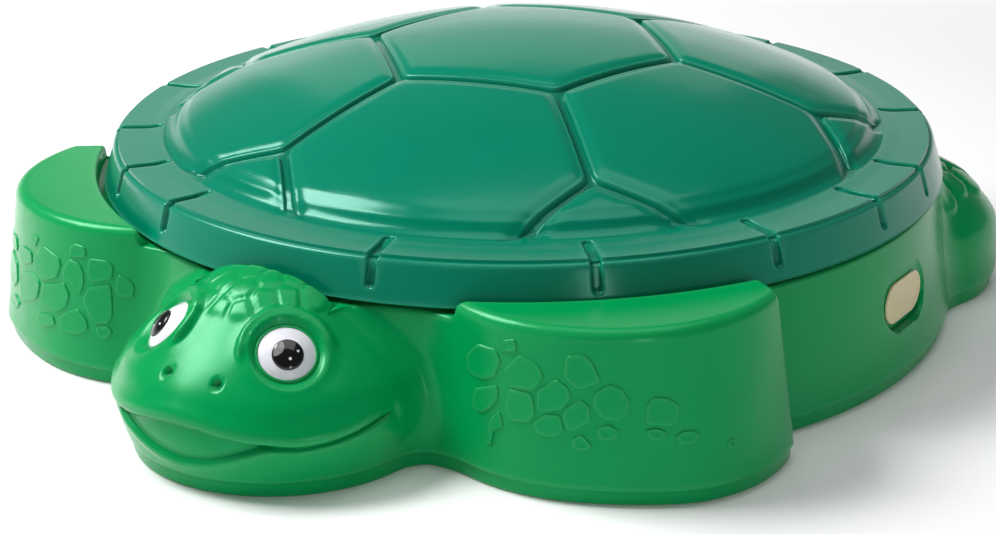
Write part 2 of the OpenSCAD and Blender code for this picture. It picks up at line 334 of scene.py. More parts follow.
def head_distance(x, y, z):
    """Distance to the head, with its brows, sockets, nostrils, lips and crown scales."""
    hy = y + HEAD_OUT
    rho = np.hypot(x, hy)
    angle = np.degrees(np.arctan2(x, -hy))
    slope = (HEAD_PROFILE(z + 0.001) - HEAD_PROFILE(z - 0.001)) / 0.002
    relief = mouth_relief(angle, z)
    d = (rho - HEAD_PROFILE(z) - relief) / np.sqrt(1 + np.minimum(slope * slope, 6))
    d = rounded(d, z - CROWN_Z, 0.016)
    ax = np.abs(x)
    centre, look, up = eye_axes(1)
    qx, qy, qz = ax - centre.x, y - centre.y, z - centre.z
    h = qx * look.x + qy * look.y + qz * look.z
    across = np.sqrt(np.maximum(qx * qx + qy * qy + qz * qz - h * h, 0))
    lift = qx * up.x + qy * up.y + qz * up.z
    bulge = np.sqrt(across * across + (h + BULGE_DEPTH) ** 2) - BULGE_R
    d = filleted(d, bulge, 0.020)
    side = np.sqrt(np.maximum(across * across - lift * lift, 0))
    for reach, thick, rise in BROWS:
        ring = np.hypot(side, lift - 0.002)
        brow = np.hypot(ring - reach, (h - rise) * 0.8) - thick
        brow = brow + 0.012 * (1 - ease(-0.026, 0.012, lift))
        d = filleted(d, brow, 0.004)
    dish = np.maximum((across - 0.0312 - 1.2 * h) / 1.56, -0.0040 - h)
    d = rounded(d, -dish, 0.002)
    nostril = np.sqrt((ax - NOSTRIL[0]) ** 2 + (y - NOSTRIL[1]) ** 2 + (z - NOSTRIL[2]) ** 2)
    d = d + 0.0075 * np.exp(-(nostril / 0.0050) ** 4)
    top = ease(0.150, 0.158, z)
    scales = cell_relief(x, y, CROWN_CELLS, 0.003, 0.017)
    return d - CROWN_RISE * scales * top


LEFT_SCALES = (
    ((-12.7, 141), (-5.3, 141), (-3.4, 132), (-5.6, 114), (-10.5, 107), (-16.6, 109), (-17.5, 126)),
    ((-3.1, 152), (1.3, 156), (2.2, 149), (1.6, 143), (-3.8, 140)),
    ((2.9, 142), (9.3, 135), (11.1, 124), (7.7, 109), (-0.3, 108), (-2.5, 123)),
    ((-0.4, 106), (7.4, 106), (8.5, 86), (6.1, 77), (0, 75), (-2, 86)),
    ((8.8, 110), (15.1, 124), (18.5, 117), (19.4, 106), (16.9, 95), (10.5, 89), (8.9, 92)),
    ((17.8, 147), (23.1, 150), (25.5, 143), (28.2, 124), (21.7, 115), (17, 125)),
    ((26.2, 113), (30.3, 122), (34.4, 118), (36.7, 104), (35.8, 91), (33.4, 86), (28.4, 88), (25.6, 101)),
    ((17.4, 96), (22.1, 106), (24.7, 101), (25.3, 85), (18.5, 73), (16.9, 86)),
    ((41.4, 103), (43.7, 109), (47.6, 107), (50.9, 100), (50.2, 84), (48.3, 80), (41.1, 83)),
    ((49.3, 70), (51.8, 75), (55.3, 73), (56.8, 68), (55, 61), (50.5, 62)),
    ((64.9, 58), (66.9, 59), (68.2, 53), (67, 48), (64.8, 50)),
    ((19.6, 66), (22.4, 72), (24.2, 67), (25.9, 60), (23.3, 55), (20.1, 57)),
    ((-13.5, 96), (-4.4, 107), (-4, 94), (-7.3, 81), (-11.2, 73), (-14.5, 77)),
    ((-7.2, 71), (-3.6, 82), (-2, 68), (-5.5, 61), (-6.3, 46), (-8.1, 44)),
    ((11.5, 88), (16.1, 89), (17.5, 74), (14.3, 66), (9.4, 67), (7.5, 76)),
    ((26.7, 80), (30.8, 83), (33.7, 76), (32, 67), (27.4, 68)),
    ((41.1, 78), (44.4, 79), (47.4, 74), (45.6, 66), (41.7, 68)),
)
RIGHT_SCALES = (
    ((15.8, 136), (6.3, 128), (6, 120), (8.4, 105), (16.6, 96), (21.4, 103), (22.2, 117)),
    ((16.5, 93), (4.6, 103), (2.4, 92), (4.2, 76), (9.5, 67), (18.5, 71)),
    ((36, 86), (23.4, 100), (18.1, 92), (20, 74), (23, 68), (34, 57)),
    ((-0.4, 149), (-5.2, 147), (-5.4, 137), (-2.5, 134), (1.8, 134), (1.6, 142)),
    ((2.3, 131), (-2.6, 128), (-4.1, 120), (-4.0, 106), (-2, 94), (1.5, 104), (5.0, 108), (5.3, 116)),
    ((-6.3, 136), (-13.3, 136), (-15.7, 131), (-14.9, 117), (-6.8, 110), (-5.4, 118)),
    ((-17.1, 123), (-20.2, 120), (-22.9, 112), (-22.1, 99), (-16.3, 99), (-15.8, 110)),
    ((-5.6, 104), (-14.2, 111), (-14.6, 96), (-14.5, 77), (-12.9, 68), (-7.9, 66), (-5.8, 72), (-3.0, 91)),
    ((-8, 63), (-12.9, 65), (-14.2, 60), (-12.4, 51), (-8.7, 50)),
    ((3.1, 74), (-0.8, 78), (-4.5, 69), (-5.0, 57), (-0, 49), (7.3, 49), (7.7, 63)),
    ((19.4, 58), (11.2, 63), (9.7, 53), (17.0, 44), (21.4, 47)),
    ((54, 92), (46, 101), (39, 92), (38, 74), (43, 62), (52, 66)),
    ((47, 120), (40, 122), (38, 108), (44, 103), (50, 108)),
    ((29.6, 122), (23.6, 122), (23.0, 110), (29.5, 102), (35.8, 103), (36, 115)),
    ((24.6, 138), (20.8, 143), (17.8, 141), (20.5, 129)),
    ((62, 80), (57, 86), (54.5, 74), (57, 62), (62, 66)),
    ((68, 110), (60, 116), (55, 104), (59, 92), (67, 95)),
    ((48, 48), (41, 56), (36, 50), (40, 40), (47, 39)),
)


def on_seat(side, around, height, sizes):
    """A point of a seat's wall and its outward normal. around is the angle from straight ahead."""
    cx, cy = side * SEAT_OUT * math.sin(SEAT_ANGLE), -SEAT_OUT * math.cos(SEAT_ANGLE)
    out_x, out_y = side * np.sin(around), -np.cos(around)
    low, high = np.full(np.shape(around), 0.12), np.full(np.shape(around), 0.22)
    for _ in range(22):
        mid = (low + high) / 2
        outside = tray_distance(cx + mid * out_x, cy + mid * out_y, height, sizes) > 0
        high, low = np.where(outside, mid, high), np.where(outside, low, mid)
    reach = (low + high) / 2
    spot = np.stack([cx + reach * out_x, cy + reach * out_y, height], -1)
    step = 0.0008
    slope = []
    for axis in range(3):
        ahead, behind = spot.copy(), spot.copy()
        ahead[..., axis] += step
        behind[..., axis] -= step
        slope.append(tray_distance(*np.moveaxis(ahead, -1, 0), sizes)
                     - tray_distance(*np.moveaxis(behind, -1, 0), sizes))
    normal = np.stack(slope, -1)
    return spot, normal / np.linalg.norm(normal, axis=-1, keepdims=True)


def scale_rings(corners, side, sizes):
    """Points of one small raised scale: a thin plate with rounded corners and a soft edge.

    corners holds angles round the seat in degrees, and heights in millimetres.
    """
    flat = np.array([(math.radians(a) * SCALE_ARC_R, z / 1000) for a, z in corners])
    outline = []
    count = len(flat)
    for i in range(count):
        before, here, after = flat[i - 1], flat[i], flat[(i + 1) % count]
        back, on = before - here, after - here
        cut = min(0.0035, 0.3 * np.linalg.norm(back), 0.3 * np.linalg.norm(on))
        start = here + back / np.linalg.norm(back) * cut
        stop = here + on / np.linalg.norm(on) * cut
        for t in (0, 0.33, 0.67, 1.0):
            outline.append((1 - t) ** 2 * start + 2 * t * (1 - t) * here + t * t * stop)
        if np.linalg.norm(on) > 0.012:
            outline += [here + on * t for t in (0.3, 0.5, 0.7)]
    outline = np.array(outline)
    middle = outline.mean(0)
    reach = np.linalg.norm(outline - middle, axis=1, keepdims=True)
    rise = sizes.scale_rise
    plans, heights = [], []
    for inset, out in ((0.0, None), (-0.0004, -0.0008), (-0.0002, 0.15 * rise), (0.0003, 0.7 * rise),
                       (0.0009, 0.95 * rise), (0.0018, rise), (0.0040, 0.92 * rise), (None, 0.8 * rise)):
        if inset is None:
            plan = middle + (outline - middle) * 0.4
        else:
            plan = outline - (outline - middle) / reach * inset
        if out is None:
            plan, out = middle + (outline - middle) * 0.5, -0.0012
        plans.append(plan)
        heights.append(out)
    centre = np.repeat(middle[None], len(outline), axis=0)
    plans = np.array([centre] + plans + [centre])
    heights = np.array([-0.0012] + heights + [0.75 * rise])
    spot, normal = on_seat(side, plans[..., 0] / SCALE_ARC_R, plans[..., 1], sizes)
    return spot + normal * heights[:, None, None]


def hind_distance(x, y, z):
    """Distance to a hind foot on the side of +X."""
    cx, cy = HIND_OUT * math.sin(HIND_ANGLE), -HIND_OUT * math.cos(HIND_ANGLE)
    dx, dy = x - cx, y - cy
    slope = (HIND_PROFILE(z + 0.001) - HIND_PROFILE(z - 0.001)) / 0.002
    d = (np.hypot(dx, dy) - HIND_PROFILE(z)) / np.sqrt(1 + np.minimum(slope * slope, 6))
    d = rounded(d, z - 0.143, 0.01)
    out = dx * math.sin(HIND_ANGLE) - dy * math.cos(HIND_ANGLE)
    along = dx * math.cos(HIND_ANGLE) + dy * math.sin(HIND_ANGLE)
    relief = cell_relief(out, along, HIND_CELLS, 0.004, 0.022)
    return d - HIND_RISE * relief * ease(0.078, 0.090, z)


def tail_distance(x, y, z):
    """Distance to the tail."""
    rho = np.hypot(x, y - TAIL_OUT)
    slope = (TAIL_PROFILE(z + 0.001) - TAIL_PROFILE(z - 0.001)) / 0.002
    return (rho - TAIL_PROFILE(z)) / np.sqrt(1 + np.minimum(slope * slope, 6))


def badge_recess(x, y, z):
    """Distance to the recess in the wall that holds the badge."""
    low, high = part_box("side_badge")
    length = (high.y - low.y) / 2 + 0.0065
    height = (high.z - low.z) / 2 + 0.0065
    ry = np.maximum(np.abs(y) - (length - height), 0)
    oval = np.hypot(ry, z - (low.z + high.z) / 2) - height
    return np.maximum(oval, low.x - x)


def tray_distance(x, y, z, sizes):
    """Distance to the outer form of the tray, without its tub."""
    ax = np.abs(x)
    d = wall_distance(x, y, z, sizes)
    for solid in (seat_distance(ax, y, z, sizes), head_distance(x, y, z),
                  hind_distance(ax, y, z), tail_distance(x, y, z)):
        d = filleted(d, solid, sizes.join_radius)
    inside = np.minimum(POCKET_R - np.hypot(x, y), z - LEDGE_Z)
    d = rounded(d, inside, 0.003)
    return rounded(d, -badge_recess(x, y, z), 0.0025)


def tray_columns():
    """Angles of the grid's columns, closer together where the form turns sharply."""
    def run(spans):
        out = []
        for start, stop, step in spans:
            count = max(1, round((stop - start) / step))
            out += [start + (stop - start) * i / count for i in range(count)]
        return out

    front = [(0, 22, 0.22), (22, 30, 0.4), (30, 58, 0.7), (58, 59.4, 0.25), (59.4, 62.6, 0.1),
             (62.6, 67, 0.4)]
    rear = [(108, 150, 0.45), (150, 166, 1.2), (166, 180, 0.6)]
    plus = run(front + [(67, 82.5, 1.0), (82.5, 97.5, 0.25), (97.5, 108, 1.0)] + rear)
    minus = run(front + [(67, 108, 1.0)] + rear)
    degrees = plus + [180] + [-a for a in reversed(minus) if a > 0]
    return np.radians(np.array(degrees))


def cut_along(inside_r, inside_z, dir_r, dir_z, theta, sizes, reach=0.26, steps=24):
    """How far each ray runs from inside the tray to its surface."""
    low = np.zeros(np.broadcast(inside_r, dir_r).shape)
    high = np.full(low.shape, reach)
    s, c = np.sin(theta), np.cos(theta)
    for _ in range(steps):
        mid = (low + high) / 2
        r, z = inside_r + mid * dir_r, inside_z + mid * dir_z
        out = tray_distance(r * s, -r * c, z, sizes) > 0
        high = np.where(out, mid, high)
        low = np.where(out, low, mid)
    return (low + high) / 2


def spread_round(values, theta, width):
    """Evens out each row of values round the tray."""
    full = 2 * math.pi
    around = np.concatenate([theta - full, theta, theta + full])
    tripled = np.concatenate([values] * 3, axis=1)
    order = np.argsort(around)
    steps = np.arange(-full / 2, 1.5 * full, width / 14)
    box = np.hanning(31)
    out = []
    for row in tripled:
        line = np.interp(steps, around[order], row[order])
        line = np.convolve(line, box / box.sum(), "same")
        out.append(np.interp(theta % full, steps, line))
    return np.array(out)


def tray_rings(sizes, rows=84):
    """Points of the whole moulding: underside, foot, outer form, pocket, rim and tub."""
    theta = tray_columns()
    focus_r, focus_z, start_z = 0.452, 0.060, sizes.foot_height + 0.002
    zero, one = np.zeros_like(theta), np.ones_like(theta)
    foot_r = focus_r + cut_along(focus_r, start_z, one, zero, theta, sizes)
    step_r = focus_r + cut_along(focus_r, sizes.foot_height, one, zero, theta, sizes)
    edge_r = POCKET_R + 0.0035
    s, c = np.sin(theta), np.cos(theta)
    standing = tray_distance(edge_r * s, -edge_r * c, zero + LEDGE_Z + 0.003, sizes) < 0
    top_z = LEDGE_Z + cut_along(zero + edge_r, LEDGE_Z, zero, one, theta, sizes, reach=0.06)
    wall_end = focus_r - 0.03 + cut_along(zero + focus_r - 0.03, LEDGE_Z - 0.003, one, zero,
                                          theta, sizes)
    end_r = np.where(standing, edge_r, wall_end - 0.003)
    end_z = np.where(standing, top_z, LEDGE_Z)
    first = np.arctan2(start_z - focus_z, foot_r - focus_r)
    last = np.arctan2(end_z - focus_z, end_r - focus_r)

    def cast(angle):
        reach = cut_along(focus_r, focus_z, np.cos(angle), np.sin(angle), theta[None], sizes)
        return focus_r + reach * np.cos(angle), focus_z + reach * np.sin(angle)

    share = np.linspace(0, 1, 130)[:, None]
    angle = first[None] + (last - first)[None] * share
    r, z = cast(angle)
    close = 1 + 0.9 * np.exp(-((z - 0.055) / 0.028) ** 2)
    length = np.hypot(np.diff(r, axis=0), np.diff(z, axis=0)) * (close[1:] + close[:-1]) / 2
    run = np.vstack([zero, np.cumsum(length, axis=0)])
    run /= run[-1]
    wanted = np.linspace(0, 1, rows)
    part = np.stack([np.interp(wanted, run[:, i], share[:, 0]) for i in range(len(theta))], 1)
    part = spread_round(part, theta, math.radians(1.6))
    smooth_last = spread_round(last[None], theta, math.radians(7))
    hold = ease(0.78, 1.0, part)
    even = first[None] + (smooth_last * (1 - hold) + last[None] * hold - first[None]) * part
    r, z = cast(even)
    r[-1], z[-1] = end_r, end_z

    rings = []

    def ring(radius, height):
        radius, height = radius + zero, height + zero
        rings.append(np.stack([radius * s, -radius * c, height], -1))

    recess = step_r - sizes.foot_recess
    ring(0, 0)
    for part in (0.3, 0.6, 0.85, 0.95):
        ring(recess * part, 0)
    ring(recess - 0.003, 0)
    ring(recess - 0.0008, 0.0008)
    ring(recess, 0.003)
    ring(recess, sizes.foot_height - 0.003)
    ring(recess + 0.0006, sizes.foot_height - 0.0008)
    ring(recess + 0.002, sizes.foot_height)
    ring(step_r - 0.0014, sizes.foot_height)
    ring(step_r - 0.0004, sizes.foot_height + 0.0005)
    for i in range(rows):
        ring(r[i], z[i])
    for part in (0.3, 0.7, 1.0):
        turn = part * math.pi / 2
        drop = 0.0035 * (1 - math.cos(turn))
        inner = POCKET_R + 0.0035 * (1 - math.sin(turn))
        ring(np.where(standing, inner, end_r + (WALL_TOP_R - 0.006 - end_r) * part / 2),
             np.where(standing, end_z - drop, LEDGE_Z))
    ring(np.where(standing, POCKET_R, WALL_TOP_R - 0.005),
         np.where(standing, LEDGE_Z + 0.002, LEDGE_Z))
    ring(np.where(standing, POCKET_R - 0.002, WALL_TOP_R - 0.006), LEDGE_Z)
    for radius, height in rim_and_tub():
        ring(radius, height)
    return np.array(rings)


def rim_and_tub():
    """The profile from the ledge over the rim and down to the middle of the tub's floor."""
    top = TRAY_HIGH.z - 0.0055
    rim_in, rim_out, floor_z, floor_r = 0.405, 0.440, 0.014, 0.389
    profile = [(0.4485, LEDGE_Z), (0.4465, LEDGE_Z + 0.0015), (0.4455, LEDGE_Z + 0.005)]
    profile += [(rim_out + 0.002, top - 0.018), (rim_out, top - 0.010)]
    for i in range(1, 6):
        turn = i * math.pi / 10
        profile.append((rim_out - 0.008 * (1 - math.cos(turn)), top - 0.010 + 0.008 * math.sin(turn)))
    profile += [(rim_out - 0.018, top - 0.001), (rim_in + 0.008, top)]
    for i in range(1, 5):
        turn = i * math.pi / 8
        profile.append((rim_in + 0.006 * (1 - math.sin(turn)), top - 0.006 * (1 - math.cos(turn))))
    for i in range(1, 8):
        part = i / 8
        profile.append((rim_in + (floor_r - rim_in) * part, top - 0.006 - (top - 0.038) * part))
    for i in range(1, 7):
        turn = i * math.pi / 12
        profile.append((floor_r - 0.018 * (1 - math.cos(turn)), floor_z + 0.018 * (1 - math.sin(turn))))
    for radius in (0.33, 0.28, 0.22, 0.16, 0.1, 0.05, 0.0):
        profile.append((radius, floor_z))
    return profile


# ------------------------------------------------------------ the cover's form

NOTCHES = (-37.5, -21, 13.2, 40.8, 64.8, 84.8, 99.5, 126, 147, 168, 190, 213, 236, 257, 282, 304)
CORNER_R = 0.173
FORK_R = 0.327
ARM_SPREAD = math.radians(13)
PLATE_END = 0.396
FLANGE_R = 0.402
TIP_MIDDLE_R = 0.3715
SHELL_Z = soft_table(
    [(0, 0), (0.3655, 0), (0.3705, -0.0018), (0.3735, -0.0024), (0.3775, -0.0030), (0.3815, -0.0072),
     (0.3860, -0.0108), (0.392, -0.0136), (0.398, -0.0150), (0.404, -0.0154), (0.5, -0.0154)],
    0, 0.5, 0.0018, 4001)


def dome_height(r, sizes):
    """Height of the shell over its plates, running out into the flange."""
    apex = COVER_HIGH.z
    spring_r = 0.380
    spring_z = COVER_LOW.z + sizes.skirt + 0.0195
    rise = apex - spring_z
    ball = (spring_r ** 2 + rise ** 2) / (2 * rise)
    dome = apex - ball + np.sqrt(np.maximum(ball ** 2 - np.minimum(r, spring_r) ** 2, 0))
    slope = -spring_r / math.sqrt(ball ** 2 - spring_r ** 2)
    dome = dome + slope * np.clip(r - spring_r, 0, 0.004) * 0.5
    return dome + SHELL_Z(r)


def flange_height(r, sizes):
    """Height of the flange, which falls a little to the shoulder."""
    shoulder_z = COVER_LOW.z + sizes.skirt
    shoulder_r = FLANGE_R + sizes.flange
    return shoulder_z + 0.004 * (shoulder_r - r) / sizes.flange


GROOVE = soft_table([(0, -1), (0.0030, -0.98), (0.0040, -0.80), (0.0050, -0.42), (0.0058, -0.34),
                     (0.0080, -0.33), (0.0092, -0.29), (0.0120, -0.16), (0.0155, -0.05), (0.020, 0),
                     (0.05, 0)], 0, 0.05, 0.0011, 4001)


def at_angle(radius, turn):
    """A point of the plan, by its distance from the middle and its angle from the head."""
    return np.array([radius * math.sin(turn), -radius * math.cos(turn)])


def shell_cells(turn):
    """The plates' outlines in plan: corners, and whether the last side is the outer arc."""
    sixth = math.pi / 3
    corner = [at_angle(CORNER_R, turn + k * sixth) for k in range(6)]
    fork = [at_angle(FORK_R, turn + k * sixth) for k in range(6)]
    cells = [("middle", corner, None)]
    for k in range(6):
        n = (k + 1) % 6
        a = turn + k * sixth
        start, stop = a + sixth - ARM_SPREAD, a + ARM_SPREAD
        points = [at_angle(PLATE_END, stop), fork[k], corner[k], corner[n], fork[n],
                  at_angle(PLATE_END, start)]
        cells.append(("plate", points, (start, stop)))
        tip = [at_angle(PLATE_END, a - ARM_SPREAD), fork[k], at_angle(PLATE_END, a + ARM_SPREAD)]
        cells.append(("tip", tip, (a + ARM_SPREAD, a - ARM_SPREAD)))
    return cells


def smooth_least(values, k):
    """A smooth version of the least of several distances."""
    low = np.min(values, axis=0)
    return low - k * np.log(np.sum(np.exp(-(np.array(values) - low) / k), axis=0))


def edge_angles(turn):
    """Angles of the columns round the flange, closer together at the notches."""
    marks = [math.radians(n) for n in NOTCHES]
    marks += [turn + k * math.pi / 3 + s * ARM_SPREAD for k in range(6) for s in (-1, 1)]
    marks = sorted(m % (2 * math.pi) for m in marks)
    angles = set()
    for m, n in zip(marks, marks[1:] + [marks[0] + 2 * math.pi]):
        gap = n - m
        near = [0, 0.004, 0.0076, 0.0092, 0.0106, 0.0120, 0.0134, 0.0150, 0.0175, 0.022]
        if gap < 0.05:
            near = [0]
        far = np.linspace(near[-1], gap - near[-1], max(2, round((gap - 2 * near[-1]) / 0.0095)))
        steps = near[:-1] + list(far) + [gap - v for v in reversed(near[:-1])]
        angles.update(round((m + v) % (2 * math.pi), 6) for v in steps)
    angles = np.array(sorted(angles))
    keep = np.append(np.diff(angles) > 2e-5, True)
    return angles[keep]


def shell_z(x, y, sides, sizes):
    """Height of the shell at points of one cell; sides are its groove sides (point, normal)."""
    r = np.hypot(x, y)
    near = [(x - p[0]) * n[0] + (y - p[1]) * n[1] for p, n in sides]
    d = np.maximum(smooth_least(near, 0.0026) if len(near) > 1 else near[0], 0)
    fade = 1 - ease(0.388, 0.3985, r)
    groove = sizes.groove_depth * GROOVE(d) * fade
    return np.maximum(dome_height(r, sizes) + groove, flange_height(r, sizes) - 0.001 * fade)


def groove_side(p, q, middle):
    """A groove side from p to q: a point of it, and its normal towards the cell's middle."""
    along = (q - p) / np.linalg.norm(q - p)
    normal = np.array([-along[1], along[0]])
    return p, normal if np.dot(middle - p, normal) >= 0 else -normal


def cell_grid(kind, points, arc, angles, sizes):
    """Rings of points of one cell, from its outline in to its middle."""
    outline, sides = [], []
    count = len(points)
    last = count if arc is None else count - 1
    middle = np.mean(points, axis=0)
    if kind == "tip":
        turn = math.atan2(middle[0], -middle[1])
        middle = at_angle(TIP_MIDDLE_R, turn)
    for i in range(last):
        p, q = points[i], points[(i + 1) % count]
        steps = max(2, round(np.linalg.norm(q - p) / 0.0042))
        outline += [p + (q - p) * j / steps for j in range(steps)]
        sides.append(groove_side(p, q, middle))
    if arc is not None:
        start, stop = arc
        full = 2 * math.pi
        reach = (start - stop) % full
        between = sorted(((start - a) % full, a) for a in angles)
        outline += [at_angle(PLATE_END, a) for back, a in between if back < reach - 1e-6 or back < 1e-6]
    outline = np.array(outline)

    def depth(x, y):
        near = [(x - p[0]) * n[0] + (y - p[1]) * n[1] for p, n in sides]
        if arc is not None:
            near.append(PLATE_END - np.hypot(x, y))
        return smooth_least(near, 0.0026)

    wanted = [0.0015, 0.0027, 0.0034, 0.0040, 0.0045, 0.0051, 0.0058, 0.0068, 0.0080, 0.0090,
              0.0104, 0.0120, 0.0136, 0.0152, 0.0168, 0.0185, 0.0205, 0.0228, 0.0250, 0.0270,
              0.0290, 0.0320]
    reach = float(depth(*middle))
    rings = [outline]
    for w in [w for w in wanted if w < reach * 0.86]:
        low, high = np.zeros(len(outline)), np.ones(len(outline))
        for _ in range(30):
            mid = (low + high) / 2
            p = outline + (middle - outline) * mid[:, None]
            inner = depth(p[:, 0], p[:, 1]) > w
            high, low = np.where(inner, mid, high), np.where(inner, low, mid)
        rings.append(outline + (middle - outline) * ((low + high) / 2)[:, None])
    inner = rings[-1]
    for part in (0.12, 0.25, 0.4, 0.56, 0.72, 0.87, 1.0):
        rings.append(inner + (middle - inner) * part)
    plan = np.array(rings)
    z = shell_z(plan[..., 0], plan[..., 1], sides, sizes)
    return np.concatenate([plan, z[..., None]], axis=-1)


def notch_mask(theta, r, z, sizes):
    """1 in the notches of the flange and the skirt, 0 between them."""
    shoulder_z = COVER_LOW.z + sizes.skirt
    shoulder_r = FLANGE_R + sizes.flange
    along = np.where(z > shoulder_z - 0.002, r - shoulder_r, shoulder_z - z)
    out = np.zeros(np.broadcast(theta, r).shape)
    for n in NOTCHES:
        off = (theta - math.radians(n) + math.pi) % (2 * math.pi) - math.pi
        across = np.abs(off) * r
        over = np.maximum(np.maximum(along - 0.0225, -0.0450 - along), 0)
        d = np.hypot(across, over)
        out = np.maximum(out, 1 - ease(0.0034, 0.0066, d))
    return out


def edge_profile(sizes):
    """The profile from the dome's foot over the flange and the shoulder to the lower edge."""
    low_z, low_r = COVER_LOW.z, COVER_R
    end_r = low_r - 0.0002
    shoulder_z, shoulder_r = low_z + sizes.skirt, FLANGE_R + sizes.flange
    profile = []
    for r in (0.3975, 0.399, 0.4005, 0.4020, 0.4035, 0.4050, 0.4070, 0.4095, 0.4125, 0.4165,
              0.421, 0.427, 0.433, 0.4385, 0.4425):
        profile.append((r, float(max(flange_height(r, sizes), dome_height(np.array(r), sizes)))))
    lean = math.atan2(low_r - shoulder_r, sizes.skirt)
    ball = 0.0055
    cz = shoulder_z - ball + 0.0002
    cr = shoulder_r - ball + 0.0010
    for i in range(7):
        turn = math.pi / 2 - (math.pi / 2 - lean) * i / 6
        profile.append((cr + ball * math.cos(turn), cz + ball * math.sin(turn)))
    r0, z0 = profile[-1]
    for part in (0.12, 0.24, 0.36, 0.46, 0.52, 0.58, 0.63, 0.67, 0.71, 0.75, 0.82, 0.90, 0.955):
        profile.append((r0 + (end_r - r0) * part, z0 + (low_z - z0) * part))
    profile += [(end_r, low_z + 0.0012), (low_r - 0.0008, low_z + 0.0003), (low_r - 0.0018, low_z)]
    return np.array(profile)


def edge_rings(angles, sizes):
    """Points of the flange, the shoulder, the skirt, and the inside of the cover."""
    profile = edge_profile(sizes)
    step = np.gradient(profile, axis=0)
    normal = np.stack([step[:, 1], -step[:, 0]], -1)
    normal /= np.linalg.norm(normal, axis=1, keepdims=True)
    s, c = np.sin(angles), np.cos(angles)
    rows = []
    for (r, z), (nr, nz) in zip(profile, normal):
        mask = notch_mask(angles, np.full_like(angles, r), np.full_like(angles, z), sizes)
        cut = sizes.notch_depth * mask
        side = 1 if nz >= -0.2 or nr > 0 else -1
        rr, zz = r - side * nr * cut, z - side * nz * cut
        rows.append(np.stack([rr * s, -rr * c, zz], -1))
    shoulder_z, shoulder_r = COVER_LOW.z + sizes.skirt, FLANGE_R + sizes.flange
    gap = sizes.wall
    under = float(flange_height(0.403, sizes)) - gap
    inner = [(COVER_R - 0.0032, COVER_LOW.z), (COVER_R - 0.0040, COVER_LOW.z + 0.0008),
             (COVER_R - gap - 0.0050, COVER_LOW.z + 0.012),
             (shoulder_r - gap - 0.002, shoulder_z - 0.012),
             (shoulder_r - gap - 0.004, shoulder_z - gap - 0.002),
             (shoulder_r - 0.012, shoulder_z - gap),
             (0.425, float(flange_height(0.425, sizes)) - gap),
             (0.403, under), (0.392, under + 0.002)]
    for r in (0.382, 0.37, 0.33, 0.27, 0.2, 0.12, 0.05, 0.0):
        inner.append((r, float(dome_height(np.array(r), sizes)) - gap - sizes.groove_depth))
    for r, z in inner:
        dent = np.zeros_like(angles)
        if r > 0.41 and z > COVER_LOW.z + 0.003:
            mask = notch_mask(angles, dent + r + gap, dent + z + gap, sizes)
            dent = (sizes.notch_depth - 0.001) * mask
        on_skirt = r >= shoulder_r - gap - 0.003
        rr, zz = r - dent * on_skirt, z - dent * (not on_skirt)
        rows.append(np.stack([rr * s, -rr * c, zz], -1))
    return np.array(rows)


def shell_ring(angles, sizes):
    """Where the plates end: the first ring of the flange, with the height of the plates there."""
    z = np.full_like(angles, np.nan)
    for _, points, arc in shell_cells(sizes.turn):
        if arc is None:
            continue
        start, stop = arc
        back = (start - angles) % (2 * math.pi)
        inside = back <= (start - stop) % (2 * math.pi) + 1e-6
        inside |= back > 2 * math.pi - 1e-6
        middle = at_angle(TIP_MIDDLE_R, start - ((start - stop) % (2 * math.pi)) / 2)
        sides = [groove_side(p, q, middle) for p, q in zip(points, points[1:])]
        x, y = PLATE_END * np.sin(angles), -PLATE_END * np.cos(angles)
        z = np.where(inside, shell_z(x, y, sides, sizes), z)
    return np.stack([PLATE_END * np.sin(angles), -PLATE_END * np.cos(angles), z], -1)


# ---------------------------------------------------------------- shader groups

def group_shell(name, inputs, outputs):
    """A new node group with its sockets, its input node and its output node."""
    group = bpy.data.node_groups.new(name, "ShaderNodeTree")
    for label, kind, value in inputs:
        socket = group.interface.new_socket(label, in_out="INPUT", socket_type=kind)
        if value is not None:
            socket.default_value = value
    for label, kind in outputs:
        group.interface.new_socket(label, in_out="OUTPUT", socket_type=kind)
    return group, group.nodes.new("NodeGroupInput"), group.nodes.new("NodeGroupOutput")


def noise_node(nodes, links, vector, scale, detail, rough=0.5):
    """A noise texture on a vector."""
    node = nodes.new("ShaderNodeTexNoise")
    node.inputs["Scale"].default_value = scale
    node.inputs["Detail"].default_value = detail
    node.inputs["Roughness"].default_value = rough
    links.new(vector, node.inputs["Vector"])
    return node.outputs["Fac"]


def range_node(nodes, links, value, low, high, to_low=0.0, to_high=1.0):
    """A smooth Map Range of a value."""
    node = nodes.new("ShaderNodeMapRange")
    node.interpolation_type = "SMOOTHSTEP"
    for label, number in (("From Min", low), ("From Max", high), ("To Min", to_low), ("To Max", to_high)):
        node.inputs[label].default_value = number
    links.new(value, node.inputs["Value"])
    return node.outputs["Result"]


def math_node(nodes, links, operation, a, b, clamp=False):
    """A Math node on two values or sockets."""
    node = nodes.new("ShaderNodeMath")
    node.operation = operation
    node.use_clamp = clamp
    for socket, value in zip(node.inputs, (a, b)):
        if isinstance(value, bpy.types.NodeSocket):
            links.new(value, socket)
        else:
            socket.default_value = value
    return node.outputs["Value"]


def mix_colour(nodes, links, factor, a, b, blend="MIX"):
    """A Mix node on two colours."""
    node = nodes.new("ShaderNodeMix")
    node.data_type = "RGBA"
    node.blend_type = blend
    for socket, value in ((node.inputs[0], factor), (node.inputs[6], a), (node.inputs[7], b)):
        if isinstance(value, bpy.types.NodeSocket):
            links.new(value, socket)
        else:
            socket.default_value = value
    return node.outputs[2]


